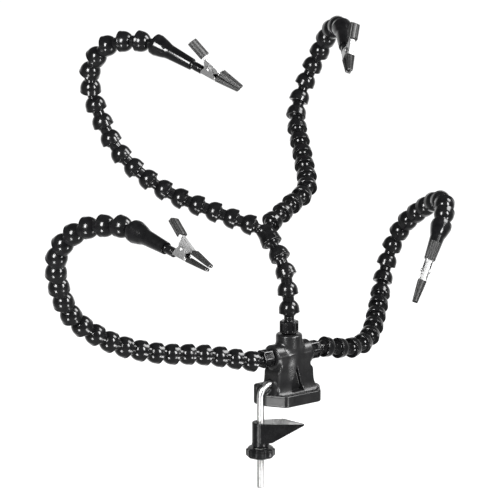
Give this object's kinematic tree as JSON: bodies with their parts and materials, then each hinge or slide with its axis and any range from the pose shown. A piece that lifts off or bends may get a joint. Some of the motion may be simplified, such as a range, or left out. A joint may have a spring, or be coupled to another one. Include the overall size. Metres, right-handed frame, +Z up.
{
  "type": "helping hands clamp",
  "caption": "Table-clamp soldering aid: a plastic base on a bent screw-clamp rod carries jointed ball-and-socket hose arms that end in sleeved alligator clips.",
  "frame": {"origin": "on the underside of the foot, on the vertical hub's axis", "axes": "+X runs along the two side ports away from the clamp rod, +Z is up, +Y is towards the closed boss"},
  "size_m": [0.4426, 0.3309, 0.4062],
  "materials": {
    "hose_plastic": "moulded acetal-like black plastic, glossy",
    "base_plastic": "satin moulded black plastic",
    "jaw_plastic": "satin moulded black plastic",
    "zinc_steel": "bright zinc plating",
    "clip_steel": "nickel-plated sheet steel",
    "sleeve_rubber": "ribbed matt rubber"
  },
  "bodies": {
    "base": {"base_body": "base_plastic", "clamp_rod": "zinc_steel", "top_port_fitting": "hose_plastic", "left_port_fitting": "hose_plastic", "right_port_fitting": "hose_plastic"},
    "clamp_carriage": {"jaw_washer": "jaw_plastic"},
    "jaw": {"clamp_jaw": "jaw_plastic"},
    "knob": {"clamp_knob": "jaw_plastic", "knob_nut": "zinc_steel"},
    "stem": {"stem_hose": "hose_plastic"},
    "splitter": {"y_splitter": "hose_plastic"},
    "upper_left_1": {"upper_left_hose_1": "hose_plastic"},
    "upper_left_2": {"upper_left_hose_2": "hose_plastic"},
    "upper_left_3": {"upper_left_hose_3": "hose_plastic"},
    "upper_left_nozzle_body": {"upper_left_nozzle": "hose_plastic"},
    "upper_left_clip": {"upper_left_clip_plug": "hose_plastic", "upper_left_fixed_half": "clip_steel", "upper_left_clip_rivet": "clip_steel", "upper_left_clip_spring": "clip_steel", "upper_left_fixed_jaw_sleeve": "sleeve_rubber"},
    "upper_left_lever": {"upper_left_moving_half": "clip_steel", "upper_left_handle_sleeve": "sleeve_rubber", "upper_left_moving_jaw_sleeve": "sleeve_rubber"},
    "lower_left_1": {"lower_left_hose_1": "hose_plastic"},
    "lower_left_2": {"lower_left_hose_2": "hose_plastic"},
    "lower_left_3": {"lower_left_hose_3": "hose_plastic"},
    "lower_left_4": {"lower_left_hose_4": "hose_plastic"},
    "lower_left_nozzle_body": {"lower_left_nozzle": "hose_plastic"},
    "lower_left_clip": {"lower_left_clip_plug": "hose_plastic", "lower_left_fixed_half": "clip_steel", "lower_left_clip_rivet": "clip_steel", "lower_left_clip_spring": "clip_steel", "lower_left_fixed_jaw_sleeve": "sleeve_rubber"},
    "lower_left_lever": {"lower_left_moving_half": "clip_steel", "lower_left_handle_sleeve": "sleeve_rubber", "lower_left_moving_jaw_sleeve": "sleeve_rubber"},
    "right_1": {"right_hose_1": "hose_plastic"},
    "right_2": {"right_hose_2": "hose_plastic"},
    "right_3": {"right_hose_3": "hose_plastic"},
    "right_nozzle_body": {"right_nozzle": "hose_plastic"},
    "right_clip": {"right_clip_plug": "hose_plastic", "right_fixed_half": "clip_steel", "right_clip_rivet": "clip_steel", "right_clip_spring": "clip_steel", "right_fixed_jaw_sleeve": "sleeve_rubber"},
    "right_lever": {"right_moving_half": "clip_steel", "right_handle_sleeve": "sleeve_rubber", "right_moving_jaw_sleeve": "sleeve_rubber"},
    "upper_right_1": {"upper_right_hose_1": "hose_plastic"},
    "upper_right_2": {"upper_right_hose_2": "hose_plastic"},
    "upper_right_3": {"upper_right_hose_3": "hose_plastic"},
    "upper_right_nozzle_body": {"upper_right_nozzle": "hose_plastic"},
    "upper_right_clip": {"upper_right_clip_plug": "hose_plastic", "upper_right_fixed_half": "clip_steel", "upper_right_clip_rivet": "clip_steel", "upper_right_clip_spring": "clip_steel", "upper_right_fixed_jaw_sleeve": "sleeve_rubber"},
    "upper_right_lever": {"upper_right_moving_half": "clip_steel", "upper_right_handle_sleeve": "sleeve_rubber", "upper_right_moving_jaw_sleeve": "sleeve_rubber"}
  },
  "joints": [
    {"name": "stem_bend", "type": "hinge", "parent": "base", "child": "stem", "pos_m": [0, 0, 0.0824], "axis": [-0.0266, -0.991, 0.1314], "range_deg": [-21, 21]},
    {"name": "splitter_bend", "type": "hinge", "parent": "stem", "child": "splitter", "pos_m": [-0.0015, 0.02487, 0.1404], "axis": [0.5668, 0.5826, -0.5826], "range_deg": [-25, 20]},
    {"name": "upper_left_bend_1", "type": "hinge", "parent": "splitter", "child": "upper_left_1", "pos_m": [-0.01357, 0.03848, 0.15401], "axis": [-0.6813, -0.4841, -0.5491], "range_deg": [-35, 10]},
    {"name": "upper_left_bend_2", "type": "hinge", "parent": "upper_left_1", "child": "upper_left_2", "pos_m": [-0.0829, 0.09527, 0.1936], "axis": [-0.5799, 0.2683, -0.7692], "range_deg": [-22, 22]},
    {"name": "upper_left_bend_3", "type": "hinge", "parent": "upper_left_2", "child": "upper_left_3", "pos_m": [-0.12207, 0.12757, 0.27483], "axis": [0.9085, 0.3354, 0.2494], "range_deg": [-40, 5]},
    {"name": "upper_left_nozzle_bend", "type": "hinge", "parent": "upper_left_3", "child": "upper_left_nozzle_body", "pos_m": [-0.0966, 0.06131, 0.31848], "axis": [0.6357, -0.0725, 0.7685], "range_deg": [-17, 17]},
    {"name": "upper_left_clip_swivel", "type": "hinge", "parent": "upper_left_nozzle_body", "child": "upper_left_clip", "pos_m": [-0.08356, 0.02842, 0.3046], "axis": [0.3429, -0.8654, -0.3653], "continuous": true},
    {"name": "upper_left_clip_open", "type": "hinge", "parent": "upper_left_clip", "child": "upper_left_lever", "pos_m": [-0.07832, 0.00947, 0.30296], "axis": [-0.9176, -0.2253, -0.3275], "range_deg": [0, 22], "stiffness_Nm_per_rad": 0.15, "springref_deg": -34.38},
    {"name": "lower_left_bend_1", "type": "hinge", "parent": "base", "child": "lower_left_1", "pos_m": [-0.0414, 0, 0.042], "axis": [0, 0.9208, -0.39], "range_deg": [-39, 6]},
    {"name": "lower_left_bend_2", "type": "hinge", "parent": "lower_left_1", "child": "lower_left_2", "pos_m": [-0.13709, 0.008, 0.06302], "axis": [-0.271, -0.0186, -0.9624], "range_deg": [-22, 22]},
    {"name": "lower_left_bend_3", "type": "hinge", "parent": "lower_left_2", "child": "lower_left_3", "pos_m": [-0.2226, 0.00887, 0.10869], "axis": [0.2633, 0.885, 0.384], "range_deg": [-36, 9]},
    {"name": "lower_left_bend_4", "type": "hinge", "parent": "lower_left_3", "child": "lower_left_4", "pos_m": [-0.24895, -0.0208, 0.17784], "axis": [-0.648, 0.3975, 0.6497], "range_deg": [-15, 15]},
    {"name": "lower_left_nozzle_bend", "type": "hinge", "parent": "lower_left_4", "child": "lower_left_nozzle_body", "pos_m": [-0.22586, -0.09309, 0.19781], "axis": [0.9552, 0.0201, 0.2952], "range_deg": [-21, 21]},
    {"name": "lower_left_clip_swivel", "type": "hinge", "parent": "lower_left_nozzle_body", "child": "lower_left_clip", "pos_m": [-0.2229, -0.13031, 0.19075], "axis": [0.0781, -0.9795, -0.1858], "continuous": true},
    {"name": "lower_left_clip_open", "type": "hinge", "parent": "lower_left_clip", "child": "lower_left_lever", "pos_m": [-0.21964, -0.14965, 0.19291], "axis": [-0.9513, -0.1289, 0.28], "range_deg": [0, 22], "stiffness_Nm_per_rad": 0.15, "springref_deg": -34.38},
    {"name": "right_bend_1", "type": "hinge", "parent": "base", "child": "right_1", "pos_m": [0.0414, 0, 0.042], "axis": [0, 0.9928, 0.1198], "range_deg": [-35, 10]},
    {"name": "right_bend_2", "type": "hinge", "parent": "right_1", "child": "right_2", "pos_m": [0.13834, 0.0433, 0.05822], "axis": [0.4748, 0.1637, -0.8647], "range_deg": [-22, 22]},
    {"name": "right_bend_3", "type": "hinge", "parent": "right_2", "child": "right_3", "pos_m": [0.17442, 0.03263, 0.14255], "axis": [0.8934, -0.2877, -0.345], "range_deg": [-28, 17]},
    {"name": "right_nozzle_bend", "type": "hinge", "parent": "right_3", "child": "right_nozzle_body", "pos_m": [0.13593, -0.04565, 0.14791], "axis": [-0.034, -0.819, 0.5728], "range_deg": [-21, 21]},
    {"name": "right_clip_swivel", "type": "hinge", "parent": "right_nozzle_body", "child": "right_clip", "pos_m": [0.1101, -0.06089, 0.12457], "axis": [-0.6797, -0.4012, -0.614], "continuous": true},
    {"name": "right_clip_open", "type": "hinge", "parent": "right_clip", "child": "right_lever", "pos_m": [0.09559, -0.07217, 0.11739], "axis": [-0.674, 0.6718, 0.3071], "range_deg": [0, 22], "stiffness_Nm_per_rad": 0.15, "springref_deg": -34.38},
    {"name": "upper_right_bend_1", "type": "hinge", "parent": "splitter", "child": "upper_right_1", "pos_m": [0.01057, 0.03848, 0.15401], "axis": [0.1596, 0.5664, -0.8085], "range_deg": [-41, 4]},
    {"name": "upper_right_bend_2", "type": "hinge", "parent": "upper_right_1", "child": "upper_right_2", "pos_m": [0.08381, 0.08612, 0.18972], "axis": [0.3297, 0.3932, -0.8583], "range_deg": [-22, 22]},
    {"name": "upper_right_bend_3", "type": "hinge", "parent": "upper_right_2", "child": "upper_right_3", "pos_m": [0.12576, 0.13893, 0.2557], "axis": [0.8132, -0.418, -0.4049], "range_deg": [-39, 6]},
    {"name": "upper_right_nozzle_bend", "type": "hinge", "parent": "upper_right_3", "child": "upper_right_nozzle_body", "pos_m": [0.12025, 0.07766, 0.31383], "axis": [0.206, -0.4942, 0.8446], "range_deg": [-8, 8]},
    {"name": "upper_right_clip_swivel", "type": "hinge", "parent": "upper_right_nozzle_body", "child": "upper_right_clip", "pos_m": [0.09947, 0.04825, 0.30169], "axis": [-0.5467, -0.774, -0.3195], "continuous": true},
    {"name": "upper_right_clip_open", "type": "hinge", "parent": "upper_right_clip", "child": "upper_right_lever", "pos_m": [0.09006, 0.03092, 0.30093], "axis": [-0.8247, 0.4317, 0.3655], "range_deg": [0, 22], "stiffness_Nm_per_rad": 0.15, "springref_deg": -34.38},
    {"name": "clamp_travel", "type": "slide", "parent": "base", "child": "clamp_carriage", "axis": [0, 0, 1], "range_m": [-0.0241, 0.0141]},
    {"name": "knob_turn", "type": "hinge", "parent": "clamp_carriage", "child": "knob", "pos_m": [-0.0315, 0, -0.015], "axis": [0, 0, 1], "range_deg": [-6840, 4000]},
    {"name": "jaw_swivel", "type": "hinge", "parent": "clamp_carriage", "child": "jaw", "pos_m": [-0.0315, 0, -0.015], "axis": [0, 0, 1], "continuous": true}
  ],
  "couplings": [
    {"joint": "knob_turn", "follows": "clamp_travel", "rad_per_m": 4947.3}
  ]
}
